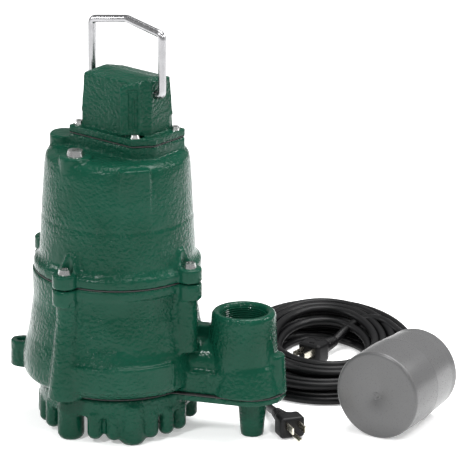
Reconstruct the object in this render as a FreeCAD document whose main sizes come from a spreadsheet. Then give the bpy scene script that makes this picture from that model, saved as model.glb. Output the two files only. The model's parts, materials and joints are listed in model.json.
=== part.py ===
"""Submersible sump pump with its lifting handle, power cord and tethered float switch.

Millimetres, +Z up. The origin is on the floor under the motor shaft, and +X points
from the shaft to the discharge port.
"""
import FreeCAD
import Part
import Sketcher
import math
import os

from FreeCAD import Placement, Rotation, Vector

SIZES = {
    # base cover: plate, skirt with half-round intake notches, feet and leg
    "skirt_radius": 77, "skirt_bore": 69.5, "finger_level": 4.5, "gap_level": 27,
    "finger_radius": 7.6, "finger_circle": 69.4,
    "plate_level": 33, "parting_level": 45, "gasket": 1, "eye_radius": 24,
    "foot_circle": 67, "foot_small": 13, "leg_place": 136,
    "leg_small": 11, "leg_large": 14.5, "tongue_half": 34, "tongue_place": 134,
    # pump housing
    "rim_radius": 74, "rim_level": 49, "volute_radius": 89, "volute_shift": -2.5,
    "volute_top": 80, "waist_radius": 84, "waist_level": 92, "collar_radius": 79,
    "collar_level": 129, "joint_level": 157, "chamber_radius": 62, "chamber_top": 72,
    "floor_level": 80, "oil_radius": 71, "ledge_level": 149, "bracket_radius": 73.5,
    # discharge
    "port_place": 127, "port_level": 125, "port_bore": 22.1, "port_rim": 31,
    "riser_radius": 32, "elbow_level": 74, "riser_bore": 21.5, "thread_depth": 27,
    "passage_radius": 13.5, "passage_level": 62, "side_lug_place": 158, "side_lug_radius": 12,
    # motor housing
    "motor_foot": 158, "band_radius": 80.6, "band_level": 168, "motor_low_radius": 75,
    "motor_high_radius": 69.6, "motor_edge_level": 271, "motor_top": 276, "motor_bore": 66,
    "crown_level": 270, "platform_level": 289, "seat_top": 274, "screw_circle": 85, "lug_radius": 12,
    "lug_level": 172, "turn_angle": -18,
    # shaft line
    "shaft_radius": 8, "shaft_end": 36.5, "tip_radius": 6, "rotor_radius": 35.5,
    "stator_bore": 36, "stator_low": 184, "stator_high": 242,
    "low_race": 20, "low_race_bore": 8.5, "low_race_level": 143, "low_race_width": 12,
    "high_race": 17.5, "high_race_bore": 7.5, "high_race_level": 262, "high_race_width": 11,
    # cap and handle
    "cap_place": 9, "cap_turn": -22, "cap_flange_length": 93, "cap_flange_width": 62,
    "cap_flange": 7, "cap_level": 290, "cap_half": 38.5, "cap_half_top": 36, "cap_side": 24.5,
    "cap_side_top": 21, "cap_shoulder": 349, "cap_ridge": 352, "cap_wall": 4,
    "handle_half": 43.5, "handle_rod": 3.75, "handle_pivot": 336, "handle_corner": 396,
    "handle_peak": 404,
    # float switch
    "float_radius": 43.5, "float_length": 90, "float_wall": 2.5, "float_x": 253,
    "float_y": 24, "float_angle": 78.2, "boot_length": 18, "boot_tip": 5,
    "boot_gap": 0.5,
    # cords
    "cord_radius": 4, "coil_x": 146, "coil_y": 212, "coil_angle": 108, "coil_outer_long": 118,
    "coil_outer_short": 88, "coil_inner_long": 54, "coil_inner_short": 37, "coil_half": 13,
}
UP = Vector(0, 0, 1)

DOC = FreeCAD.newDocument("sump_pump")
SHEET = DOC.addObject("Spreadsheet::Sheet", "Sizes")
for row, (word, size) in enumerate(SIZES.items(), start=1):
    SHEET.set("A%d" % row, word)
    SHEET.set("B%d" % row, str(size))
    SHEET.setAlias("B%d" % row, word)
DOC.recompute()


def value(text):
    """The number that a sum of sheet names and plain numbers stands for."""
    total, sign = 0.0, 1
    for word in str(text).split():
        if word in ("+", "-"):
            sign = 1 if word == "+" else -1
        else:
            total += sign * (SHEET.get(word) if word in SIZES else float(word))
            sign = 1
    return total


def bind(item, slot, text):
    """Drives one size of an object from the sheet."""
    words = ["Sizes." + word if word in SIZES else word for word in str(text).split()]
    item.setExpression(slot, " ".join(words))


def polar(radius, degrees, level=0.0):
    """A point at a radius and an angle about the shaft axis."""
    turn = math.radians(degrees)
    return Vector(radius * math.cos(turn), radius * math.sin(turn), level)


def rod(name, radius, height, at=(0, 0, 0), along=(0, 0, 1)):
    """A round bar."""
    item = DOC.addObject("Part::Cylinder", name)
    bind(item, "Radius", radius)
    bind(item, "Height", height)
    item.Placement = Placement(Vector(*at), Rotation(UP, Vector(*along)))
    return item


def taper(name, start, finish, height, at=(0, 0, 0), along=(0, 0, 1)):
    """A round bar whose radius changes evenly."""
    item = DOC.addObject("Part::Cone", name)
    bind(item, "Radius1", start)
    bind(item, "Radius2", finish)
    bind(item, "Height", height)
    item.Placement = Placement(Vector(*at), Rotation(UP, Vector(*along)))
    return item


def block(name, length, width, height, centre, turn=0.0):
    """A box whose bottom face is centred on a point."""
    item = DOC.addObject("Part::Box", name)
    bind(item, "Length", length)
    bind(item, "Width", width)
    bind(item, "Height", height)
    spin = Rotation(UP, turn)
    corner = spin.multVec(Vector(-value(length) / 2, -value(width) / 2, 0))
    item.Placement = Placement(Vector(*centre) + corner, spin)
    return item


def fused(name, items):
    """Several solids joined into one, or kept as a group where they don't touch."""
    item = DOC.addObject("Part::MultiFuse", name)
    item.Shapes = items
    return item


def trimmed(name, base, tools):
    """A solid with other solids taken away."""
    item = DOC.addObject("Part::Cut", name)
    item.Base = base
    item.Tool = tools[0] if len(tools) == 1 else fused(name + "_tools", tools)
    return item


def made(name, shape, place=None):
    """A solid that is built directly, for sweeps and blades."""
    item = DOC.addObject("Part::Feature", name)
    item.Shape = shape
    if place:
        item.Placement = place
    return item


def sketched(name, plane, outline):
    """A body with one closed sketch whose corners are driven from the sheet."""
    body = DOC.addObject("PartDesign::Body", name)
    sketch = body.newObject("Sketcher::SketchObject", name + "_outline")
    side = [part for part in body.Origin.OriginFeatures if part.Role == plane]
    sketch.AttachmentSupport = [(side[0], "")]
    sketch.MapMode = "FlatFace"
    corners = [Vector(value(across), value(up), 0) for across, up in outline]
    count = len(corners)
    for index in range(count):
        sketch.addGeometry(Part.LineSegment(corners[index], corners[(index + 1) % count]), False)
    for index in range(count):
        sketch.addConstraint(Sketcher.Constraint("Coincident", index, 2, (index + 1) % count, 1))
    for index, (across, up) in enumerate(outline):
        for kind, text in (("DistanceX", across), ("DistanceY", up)):
            number = sketch.addConstraint(Sketcher.Constraint(kind, index, 1, value(text)))
            bind(sketch, "Constraints[%d]" % number, text)
    return body, sketch


def lathe(name, outline, place=None):
    """A turned body from (radius, level) corners."""
    body, sketch = sketched(name, "XZ_Plane", outline)
    turned = body.newObject("PartDesign::Revolution", name + "_turned")
    turned.Profile = sketch
    turned.ReferenceAxis = (sketch, ["V_Axis"])
    turned.Angle = 360
    if place:
        body.Placement = place
    return body


def tube(name, inside, outside, low, high):
    """A plain turned ring."""
    return lathe(name, [(inside, low), (outside, low), (outside, high), (inside, high)])


def machine_screws(name, places, head_radius, head, shank_radius, shank, way=-1):
    """Identical screws, each placed under its head, as one group of separate solids.

    Each head has a hexagon recess, and the shank points up (way 1) or down (way -1).
    """
    solids = []
    for index, spot in enumerate(places):
        key = "%s_%d" % (name, index)
        top = taper(key + "_head", head_radius, "%s - 1.2" % head_radius, head, spot, (0, 0, -way))
        stem = rod(key + "_stem", shank_radius, shank, spot, (0, 0, way))
        recess = DOC.addObject("Part::Prism", key + "_recess")
        recess.Polygon = 6
        bind(recess, "Circumradius", "%s - 3" % head_radius)
        bind(recess, "Height", head)
        recess.Placement = Placement(spot - UP * (way * value(head) * 0.45),
                                     Rotation(UP, Vector(0, 0, -way)))
        solids.append(trimmed(key, fused(key + "_whole", [top, stem]), [recess]))
    return fused(name, solids)


# Angles about the shaft axis.
FEET = (60, 114, 246, 300)
BASE_SCREWS = [polar(67, angle, value("plate_level")) for angle in (30, 150, 210, 330)]
BASE_SCREWS.append(Vector(value("side_lug_place"), 0, value("parting_level - 6")))
FLANGE_ANGLES = [value("turn_angle") + 90 * step for step in range(4)]
HOUSING_SCREWS = [polar(value("screw_circle"), angle, value("lug_level"))
                  for angle in FLANGE_ANGLES]
CAP_TURN = Rotation(UP, value("cap_turn"))
CAP_CENTRE = Vector(value("cap_place"), 2.5, 0)


def on_cap(along, across, level=0.0):
    """A point given along and across the cap's long axis."""
    return CAP_CENTRE + CAP_TURN.multVec(Vector(along, across, 0)) + Vector(0, 0, level)


# Two square corners and the two truncated corners of the cap flange.
CAP_SCREWS = [on_cap(along, across, value("cap_level + cap_flange"))
              for along, across in ((41.5, 22), (-41.5, -22), (29.5, -23), (-29.5, 23))]
CORNER_FOOT = 34
CORNER_LEAN = 4
# The cord gland sits on the truncated corner at the back.
GLAND_LEVEL = 322
GLAND_WAY = CAP_TURN.multVec(Vector(-1, 1, 0).normalize())
GLAND_SEAT = CAP_CENTRE + UP * GLAND_LEVEL + GLAND_WAY * 31
GLAND_EXIT = GLAND_SEAT + GLAND_WAY * 20
FLANGE_CORNER = 62


def base_outline(name, low, thick, grow):
    """The round cover plate with the tongue that closes the discharge elbow."""
    disc = rod(name + "_disc", "rim_radius + %g" % grow, thick, (0, 0, value(low)))
    bridge = block(name + "_bridge", "tongue_place", "tongue_half + tongue_half", thick,
                   (value("tongue_place") / 2, 0, value(low)))
    nose = rod(name + "_nose", "tongue_half", thick, (value("tongue_place"), 0, value(low)))
    return fused(name + "_shape", [disc, bridge, nose])


def base_cover():
    """Cover plate, intake skirt with round fingers and gaps, feet and side leg."""
    skirt = tube("skirt", "skirt_bore", "skirt_radius - 1.5", "gap_level", "parting_level - 1")
    skin = rod("cover_disc", "rim_radius", "parting_level - plate_level",
               (0, 0, value("plate_level")))
    tongue = base_outline("tongue", "parting_level - 6", 6, 0)
    lip = rod("inlet_lip", "eye_radius + 6", 8, (0, 0, value("plate_level - 8")))
    leg = taper("leg", "leg_small", "leg_large", "parting_level - 6",
                (value("leg_place"), 0, 0))
    solids = [skirt, skin, tongue, lip, leg]
    for angle in FEET:
        solids += round_ended("foot_%d" % angle, "foot_small", 40,
                              polar(value("foot_circle"), angle))
    for step in range(24):
        angle = 15 * step
        if angle and min(abs(angle - foot) for foot in FEET) > 12:
            solids += round_ended("finger_%d" % step, "finger_radius", 26,
                                  polar(value("finger_circle"), angle, value("finger_level")))
    holes = [rod("eye", "eye_radius", 60, (0, 0, 5))]
    for index, spot in enumerate(BASE_SCREWS):
        holes.append(rod("cover_hole_%d" % index, 3.2, 20, spot))
        holes.append(rod("cover_seat_%d" % index, 6, 20, spot - UP * 20))
    return trimmed("base_cover", fused("base_solid", solids), holes)


def round_ended(name, radius, tall, spot):
    """A peg with a tapered tip, standing on a point."""
    tip = 4
    return [taper(name + "_tip", "%s - 3" % radius, radius, tip, spot),
            rod(name + "_shank", radius, "%g - %g" % (tall, tip), spot + UP * tip)]


def base_gasket():
    shape = base_outline("gasket", "parting_level", "gasket", -0.5)
    holes = [rod("gasket_eye", "chamber_radius", 3, (0, 0, value("parting_level - 1")))]
    for index, spot in enumerate(BASE_SCREWS):
        holes.append(rod("gasket_hole_%d" % index, 3.2, 3, (spot.x, spot.y, 44)))
    return trimmed("base_gasket", shape, holes)


def volute():
    """Outer form of the pump housing above the base cover."""
    foot = "parting_level + gasket"
    return lathe("volute", [
        (0, foot), ("rim_radius", foot), ("rim_radius", "rim_level"), ("rim_radius + 8", "rim_level"),
        ("volute_radius - 1.5", "rim_level + 5"), ("volute_radius", "rim_level + 10"),
        ("volute_radius", "volute_top - 10"), ("volute_radius - 2", "volute_top"),
        ("waist_radius + 1", "waist_level - 3"), ("waist_radius", "waist_level"),
        ("collar_radius", "collar_level"), ("collar_radius + 0.5", "joint_level"),
        (0, "joint_level")], Placement(Vector(value("volute_shift"), 0, 0), Rotation()))


def elbow():
    """Solid form of the outlet: a wide foot, a stout riser with a chamfered rim, and webs."""
    foot = value("parting_level + gasket")
    place = value("port_place")
    swell = value("elbow_level") - foot
    run = rod("outlet_run", "tongue_half - 8", "port_place - 50",
              (50, 0, foot + value("tongue_half - 8")), (1, 0, 0))
    low = block("outlet_low", "port_place - 50", "tongue_half + tongue_half - 6", 22,
                ((place + 50) / 2, 0, foot))
    shoe = taper("riser_shoe", "tongue_half + 4", "riser_radius + 1", swell, (place + 2, 0, foot))
    riser = taper("riser", "riser_radius + 1", "port_rim", "port_level - elbow_level - 3",
                  (place, 0, foot + swell))
    lip = taper("riser_lip", "port_rim", "port_rim - 2.6", 3, (place, 0, value("port_level - 3")))
    lug = taper("side_lug", "side_lug_radius", "side_lug_radius - 2", 38,
                (value("side_lug_place"), 0, foot))
    lug_root = block("side_lug_root", 26, 20, 34, (value("side_lug_place - 13"), 0, foot))
    web = block("outlet_web", 40, 15, 61, (86, 0, foot))
    return [run, low, riser, lip, shoe, lug, lug_root, web]


def pump_housing():
    """Volute casting with the oil chamber above it and the discharge elbow beside it."""
    foot = value("parting_level + gasket")
    far_lug = rod("far_lug", 11, 26, (-98, 0, foot))
    far_root = block("far_lug_root", 30, 22, 26, (-84, 0, foot))
    columns = []
    for index, angle in enumerate(FLANGE_ANGLES):
        low = 46 if index in (2, 3) else 88
        spot = polar(value("screw_circle - 5"), angle, low)
        columns.append(taper("column_%d" % index, 13, 11, value("joint_level") - low, spot))
        ear = rod("ear_%d" % index, "lug_radius", 16, polar(value("screw_circle"), angle, 141))
        columns.append(ear)
    flange = rod("joint_flange", "band_radius", 9, (0, 0, value("joint_level - 9")))
    solid = fused("pump_solid", [volute(), far_lug, far_root, flange] + columns + elbow())
    place = value("port_place")
    hollows = [
        rod("chamber", "chamber_radius", "chamber_top - parting_level", (0, 0, value("parting_level"))),
        rod("passage", "passage_radius", "port_place - 40", (40, 0, value("passage_level")), (1, 0, 0)),
        rod("riser_way", "riser_bore", 80, (place, 0, 50)),
        rod("port_way", "port_bore", 40, (place, 0, value("port_level - thread_depth"))),
        taper("port_chamfer", "port_bore", "port_bore + 3", 3, (place, 0, value("port_level - 3"))),
        rod("seal_way", 16, 20, (0, 0, 66)),
        rod("oil_way", "oil_radius", 90, (0, 0, value("floor_level"))),
        rod("bracket_seat", "bracket_radius", 30, (0, 0, value("ledge_level"))),
        rod("far_lug_hole", 4.5, 60, (-98, 0, 30)),
        block("front_panel", 74, 8, 50, polar(84.5, -78, 96), 12),
    ]
    for index, spot in enumerate(BASE_SCREWS):
        hollows.append(rod("base_thread_%d" % index, 3, 22, (spot.x, spot.y, 40)))
    for index, spot in enumerate(HOUSING_SCREWS):
        hollows.append(rod("joint_thread_%d" % index, 3, 24, (spot.x, spot.y, 134)))
    return trimmed("pump_housing", solid, hollows)


def joint_gasket():
    ring = tube("joint_ring", "bracket_radius", "band_radius - 0.5", "joint_level",
                "joint_level + gasket")
    holes = []
    for index, spot in enumerate(HOUSING_SCREWS):
        holes.append(rod("joint_hole_%d" % index, 3.2, 20, (spot.x, spot.y, 150)))
    return trimmed("joint_gasket", ring, holes)


def motor_housing():
    """Slightly tapered motor shell with flange lugs, crown, plug boss and cap platform."""
    shell = lathe("motor_shell", [
        (0, "motor_foot"), ("band_radius", "motor_foot"), ("band_radius", "band_level - 1.5"),
        ("band_radius - 1.5", "band_level"), ("motor_low_radius + 2", "band_level + 1.5"),
        ("motor_low_radius", "band_level + 6"), (73.3, 211), (72.3, 212), (72.3, 214), (73.1, 215),
        ("motor_high_radius + 0.4", "motor_edge_level - 8"),
        ("motor_high_radius - 1", "motor_edge_level"), ("motor_high_radius - 4", "motor_top - 2"),
        ("motor_high_radius - 9", "motor_top"), (0, "motor_top")])
    ears = []
    for index, angle in enumerate(FLANGE_ANGLES):
        ears.append(rod("motor_ear_%d" % index, "lug_radius", "lug_level - motor_foot",
                        polar(value("screw_circle"), angle, value("motor_foot"))))
        ears.append(taper("motor_rib_%d" % index, 12, 5, 16,
                          polar(value("motor_low_radius - 2"), angle, value("lug_level"))))
    bosses = [rod("plug_boss", 16, 26, polar(54, -119, 254)),
              rod("vent_boss", 15, 32, polar(54, 176, 253))]
    column = block("front_column", 30, 12, 62, polar(65.5, -58, 212), 32)
    stand = trimmed("cap_stand", block(
        "cap_stand_block", "cap_flange_length", "cap_flange_width", 27,
        on_cap(0, 0, value("platform_level - 27")), value("cap_turn")), flange_corners("stand", 40))
    solid = fused("motor_solid", [shell, column, stand] + bosses + ears)
    pocket = value("crown_level - high_race_level")
    well = block("stand_well", 62, 24, 40, on_cap(0, 0, 277), value("cap_turn"))
    hollows = [
        trimmed("motor_room", rod("motor_way", "motor_bore", "crown_level - motor_foot",
                                  (0, 0, value("motor_foot"))),
                [rod("race_boss", "high_race + 5.5", pocket, (0, 0, value("high_race_level")))]),
        rod("race_seat", "high_race", "seat_top - high_race_level",
            (0, 0, value("high_race_level"))),
        rod("wire_way", 7, 60, on_cap(26, 5, 262)), well,
        rod("plug_way", 6, 30, polar(54, -119, 262)),
        block("channel", 15, 3, 90, polar(75.3, -70, 176), 20),
    ]
    for index, spot in enumerate(HOUSING_SCREWS):
        hollows.append(rod("ear_hole_%d" % index, 3.2, 30, (spot.x, spot.y, 155)))
        hollows.append(rod("ear_seat_%d" % index, 8, 40, (spot.x, spot.y, value("lug_level"))))
    for index, spot in enumerate(CAP_SCREWS):
        hollows.append(rod("cap_thread_%d" % index, 2, 12, (spot.x, spot.y, 280)))
    return trimmed("motor_housing", solid, hollows)


def wedge(name, low, high, half, half_top, side, side_top):
    """A tapered block on the cap's axes."""
    item = DOC.addObject("Part::Wedge", name)
    bind(item, "Xmin", "0 - ( %s )" % half)
    bind(item, "Xmax", half)
    bind(item, "X2min", "0 - ( %s )" % half_top)
    bind(item, "X2max", half_top)
    bind(item, "Zmin", "0 - ( %s )" % side)
    bind(item, "Zmax", side)
    bind(item, "Z2min", "0 - ( %s )" % side_top)
    bind(item, "Z2max", side_top)
    bind(item, "Ymin", low)
    bind(item, "Ymax", high)
    stand_up = Rotation(Vector(1, 0, 0), 90)
    item.Placement = Placement(CAP_CENTRE, CAP_TURN.multiply(stand_up))
    return item


def leaning_block(name, deep, wide, tall, reach, low):
    """A block that leans with the truncated corners; its near face passes the corner line.

    reach is the near face's distance from the cap's axis at the flange, negative at the back.
    """
    item = DOC.addObject("Part::Box", name)
    bind(item, "Length", deep)
    bind(item, "Width", wide)
    bind(item, "Height", tall)
    way = 0 if reach > 0 else 180
    spin = CAP_TURN.multiply(Rotation(UP, way - 45)).multiply(
        Rotation(Vector(0, 1, 0), -CORNER_LEAN))
    rise = low - value("cap_level + cap_flange")
    foot = abs(reach) - rise * math.tan(math.radians(CORNER_LEAN))
    across = Rotation(UP, value("turn_angle") + way - 45)
    spot = CAP_CENTRE + UP * low + across.multVec(Vector(foot, 0, 0))
    item.Placement = Placement(spot + spin.multVec(Vector(0, -wide / 2, 0)), spin)
    return item


def flange_corners(name, deep):
    """Upright blocks that cut two opposite corners off the cap's flange."""
    return [block("%s_flange_corner_%d" % (name, sign), deep, 60, 36,
                  on_cap(sign * 0.5 * FLANGE_CORNER, -sign * 0.5 * FLANGE_CORNER,
                         value("cap_level - 28"))
                  + CAP_TURN.multVec(Vector(sign, -sign, 0)) * (deep / 2 / math.sqrt(2)),
                  value("turn_angle") - 45) for sign in (1, -1)]


def switch_cap():
    """Faceted terminal cap with a truncated front corner, a raised panel and a low ridge."""
    flange = block("cap_flange_plate", "cap_flange_length", "cap_flange_width", "cap_flange",
                   on_cap(0, 0, value("cap_level")), value("cap_turn"))
    body = wedge("cap_body", "cap_level", "cap_shoulder", "cap_half", "cap_half_top",
                 "cap_side", "cap_side_top")
    roof = wedge("cap_roof", "cap_shoulder", "cap_ridge", "cap_half_top", "cap_half_top - 5",
                 "cap_side_top", 3)
    solid = fused("cap_solid", [flange, body, roof])
    cuts = [wedge("cap_room", "cap_level - 1", "cap_shoulder - 3", "cap_half - cap_wall",
                  "cap_half_top - cap_wall", "cap_side - cap_wall", "cap_side_top - cap_wall")]
    for sign in (1, -1):
        cuts.append(leaning_block("cap_corner_%d" % sign, 24, 70, 90, sign * CORNER_FOOT,
                                  value("cap_level + cap_flange")))
    cuts += flange_corners("cap", 12)
    for index, spot in enumerate(CAP_SCREWS):
        cuts.append(rod("cap_hole_%d" % index, 2.2, 20, (spot.x, spot.y, 280)))
        cuts.append(rod("cap_seat_%d" % index, 5, 14, spot))
    cuts.append(rod("handle_way", "handle_rod + 0.1", 110, on_cap(-55, 0, value("handle_pivot")),
                    CAP_TURN.multVec(Vector(1, 0, 0))))
    cuts.append(rod("gland_way", 7, 20, GLAND_SEAT - GLAND_WAY * 12, GLAND_WAY))
    cuts.append(rod("gland_face", 13, 12, GLAND_SEAT, GLAND_WAY))
    cuts[0] = trimmed("cap_hollow", cuts[0], [
        leaning_block("cap_inner_corner_%d" % sign, 30, 70, 90,
                      sign * (CORNER_FOOT - value("cap_wall")), value("cap_level + cap_flange"))
        for sign in (1, -1)])
    low = value("cap_level + cap_flange") + 4
    panel = leaning_block("cap_panel", 3.4, 18, 47, CORNER_FOOT - 2, low)
    sunk = leaning_block("cap_panel_sunk", 3, 13, 41, CORNER_FOOT + 0.4, low + 3)
    hollowed = trimmed("cap_hollowed", solid, cuts)
    framed = trimmed("cap_framed", panel, [sunk])
    return fused("switch_cap", [hollowed, framed])


def cap_gasket():
    sheet = block("cap_sheet", "cap_flange_length - 1", "cap_flange_width - 1", "gasket",
                  on_cap(0, 0, value("platform_level")), value("cap_turn"))
    holes = [block("cap_sheet_room", 66, 38, 4, on_cap(0, 0, 287), value("cap_turn"))]
    holes += flange_corners("sheet", 12)
    for index, spot in enumerate(CAP_SCREWS):
        holes.append(rod("sheet_hole_%d" % index, 2.2, 20, (spot.x, spot.y, 280)))
    return trimmed("cap_gasket", sheet, holes)


def swept(points, radius):
    """A round bar along straight runs joined by tangent arcs; returns its solid and radii."""
    runs = [points[i + 1] - points[i] for i in range(len(points) - 1)]
    edges, radii, here = [], [], points[0]
    for index in range(1, len(points) - 1):
        before, after = runs[index - 1], runs[index]
        turn = before.getAngle(after)
        back = 0.45 * min(before.Length, after.Length)
        bend = back / math.tan(turn / 2)
        radii.append(bend)
        start = points[index] - Vector(before).normalize() * back
        finish = points[index] + Vector(after).normalize() * back
        middle_way = (Vector(after).normalize() - Vector(before).normalize()).normalize()
        centre = points[index] + middle_way * math.hypot(back, bend)
        middle = centre - middle_way * bend
        edges.append(Part.LineSegment(here, start).toShape())
        edges.append(Part.Arc(start, middle, finish).toShape())
        here = finish
    edges.append(Part.LineSegment(here, points[-1]).toShape())
    path = Part.Wire(edges)
    ring = Part.Wire([Part.makeCircle(radius, points[0], runs[0])])
    return path.makePipeShell([ring], True, False), radii, path.Length


def lifting_handle():
    """Round bar bail: two legs whose feet turn inward into the cap, and a peaked top."""
    half, pivot = value("handle_half"), value("handle_pivot")
    corner, peak = value("handle_corner"), value("handle_peak")
    reach = value("handle_half") - 9
    spots = [on_cap(-reach, 0, pivot), on_cap(-half, 0, pivot), on_cap(-half, 0, corner)]
    spots += [on_cap(0, 0, peak)]
    spots += [on_cap(half, 0, corner), on_cap(half, 0, pivot), on_cap(reach, 0, pivot)]
    return made("lifting_handle", bent_bar(spots, value("handle_rod"), 5.5))


def bent_bar(points, radius, bend):
    """A metal bar bent to one radius, less where a run is short."""
    edges, here = [], points[0]
    for index in range(1, len(points) - 1):
        before = points[index] - points[index - 1]
        after = points[index + 1] - points[index]
        slope = math.tan(before.getAngle(after) / 2)
        back = min(bend * slope, 0.45 * min(before.Length, after.Length))
        start = points[index] - before.normalize() * back
        finish = points[index] + after.normalize() * back
        way = (after - before).normalize()
        curve = back / slope
        middle = points[index] + way * (math.hypot(back, curve) - curve)
        edges.append(Part.LineSegment(here, start).toShape())
        edges.append(Part.Arc(start, middle, finish).toShape())
        here = finish
    edges.append(Part.LineSegment(here, points[-1]).toShape())
    ring = Part.Wire([Part.makeCircle(radius, points[0], points[1] - points[0])])
    return Part.Wire(edges).makePipeShell([ring], True, False)


def bearing_bracket():
    """Disc clamped in the joint that carries the lower bearing."""
    hub = "low_race_level - 4"
    return lathe("bearing_bracket", [
        (12, hub), ("low_race + 5", hub), ("low_race + 5", "ledge_level"),
        ("bracket_radius - 0.1", "ledge_level"), ("bracket_radius - 0.1", "joint_level"),
        ("low_race", "joint_level"), ("low_race", "low_race_level"), (12, "low_race_level")])


def impeller():
    """Back plate and hub with five curved vanes below it."""
    disc = tube("impeller_disc", "tip_radius", 56, 62, 66)
    hub = tube("impeller_hub", "tip_radius", 12, 46, 62)
    vanes = []
    for step in range(5):
        ring = tube("vane_ring_%d" % step, 30, 33.5, 47, 62)
        ring.Placement = Placement(polar(31, 72 * step), Rotation())
        keep = rod("vane_keep_%d" % step, 55, 20, (0, 0, 43))
        drop = block("vane_half_%d" % step, 80, 60, 22, polar(31, 72 * step, 42)
                     + polar(30, 72 * step + 90), 72 * step)
        band = DOC.addObject("Part::MultiCommon", "vane_band_%d" % step)
        band.Shapes = [ring, keep]
        vanes.append(trimmed("vane_%d" % step, band, [drop, rod("vane_core_%d" % step,
                     "tip_radius + 5.5", 30, (0, 0, 40))]))
    return fused("impeller", [disc, hub] + vanes)


def shaft():
    """Stepped motor shaft with its lower tip, bearing seats and rotor seat."""
    tip, main = "tip_radius - 0.02", "shaft_radius"
    return lathe("shaft", [
        (0, "shaft_end"), (tip, "shaft_end"), (tip, 66), (main, 66), (main, 136),
        ("low_race_bore", 136), ("low_race_bore", 157), ("shaft_radius + 2", 157),
        ("shaft_radius + 2", 258), ("high_race_bore", 258), ("high_race_bore", 272.5), (0, 272.5)])


def bearing(name, outer, bore, level, width, ball):
    """Ball bearing as an outer race, an inner race and a group of balls."""
    top = "%s + %s" % (level, width)
    step = (value(outer) - value(bore)) * 0.32
    pitch = (value(outer) + value(bore)) / 2
    tube(name + "_outer_race", "%s - %g" % (outer, step), outer, level, top)
    tube(name + "_inner_race", bore, "%s + %g" % (bore, step), level, top)
    height = value(level) + value(width) / 2
    balls = []
    for index in range(8):
        item = DOC.addObject("Part::Sphere", "%s_ball_%d" % (name, index))
        bind(item, "Radius", ball)
        item.Placement = Placement(polar(pitch, 45 * index, height), Rotation())
        balls.append(item)
    fused(name + "_balls", balls)


def shaft_seal():
    """Stationary seat in the pump housing, turning face, spring and its collar."""
    tube("seal_seat", 9, 16, "chamber_top + 1", "floor_level")
    tube("seal_ring", "shaft_radius", 13, "floor_level + 0.05", "floor_level + 7")
    tube("seal_collar", "shaft_radius", 13, 105, 109)
    helix = Part.makeHelix(4.5, 17, 10.4)
    wire_start = Vector(10.4, 0, 0)
    ring = Part.Wire([Part.makeCircle(0.8, wire_start, Vector(0, 1, 0))])
    coil = Part.Wire(helix).makePipeShell([ring], True, True)
    made("seal_spring", coil, Placement(Vector(0, 0, 88), Rotation()))


def motor_core():
    """Stator, its end windings, the rotor and its end rings."""
    tube("stator_core", "stator_bore", "motor_bore", "stator_low", "stator_high")
    for name, low, high in (("lower_winding", "stator_low - 22", "stator_low"),
                            ("upper_winding", "stator_high", "stator_high + 18")):
        lathe(name, [
            ("stator_bore + 6", low), ("motor_bore - 6", low), ("motor_bore - 3", low + " + 5"),
            ("motor_bore - 3", high), ("stator_bore + 2", high), ("stator_bore + 2", low + " + 5")])
    tube("rotor_core", "shaft_radius + 2", "rotor_radius", "stator_low + 1", "stator_high - 1")
    rings = [tube("end_ring_%d" % index, 22, "rotor_radius - 1.5", low, low + " + 6")
             for index, low in enumerate(("stator_low - 5", "stator_high - 1"))]
    fused("rotor_end_rings", rings)


def drive_line_fasteners():
    """Washer and nut on the shaft's tip."""
    tube("impeller_washer", "tip_radius", 11, 44.5, 46)
    nut = DOC.addObject("Part::Prism", "nut_blank")
    nut.Polygon = 6
    bind(nut, "Circumradius", 9.8)
    bind(nut, "Height", 7)
    nut.Placement = Placement(Vector(0, 0, 37.5), Rotation())
    trimmed("impeller_nut", nut, [rod("nut_way", "tip_radius", 20, (0, 0, 30))])


def oil_plug():
    """Plated fill plug with a square recess on the housing's shoulder."""
    spot = polar(54, -119, 280)
    head = taper("plug_head", 8.6, 7.2, 5, spot)
    stem = rod("plug_stem", 5.95, 9, spot - Vector(0, 0, 9))
    socket = block("plug_socket", 6, 6, 6, spot + Vector(0, 0, 1.5), 20)
    trimmed("oil_plug", fused("plug_whole", [head, stem]), [socket])


def cap_contents():
    """Run capacitor in its clip, overload protector and terminal block."""
    along = CAP_TURN.multVec(Vector(1, 0, 0))
    rod("capacitor", 12.5, 46, on_cap(-25, -4, 306), along)
    clip = rod("clip_band", 13.7, 10, on_cap(-7, -4, 306), along)
    clip_foot = block("clip_foot", 10, 32, 1.5, on_cap(-2, -2, 289), value("cap_turn"))
    clip_post = block("clip_post", 10, 8, 4, on_cap(-2, -4, 289.5), value("cap_turn"))
    trimmed("capacitor_clip", fused("clip_whole", [clip, clip_foot, clip_post]),
            [rod("clip_way", 12.5, 30, on_cap(-17, -4, 306), along)])
    rod("overload_protector", 5.2, 10, on_cap(-14.5, 13.5, 289))
    base = block("terminal_base", 24, 10, 9, on_cap(16, 13.5, 289), value("cap_turn"))
    slots = [block("terminal_slot_%d" % i, 4, 12, 5, on_cap(8.5 + 7.5 * i, 13.5, 294),
                   value("cap_turn")) for i in range(3)]
    trimmed("terminal_block", base, slots)


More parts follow.
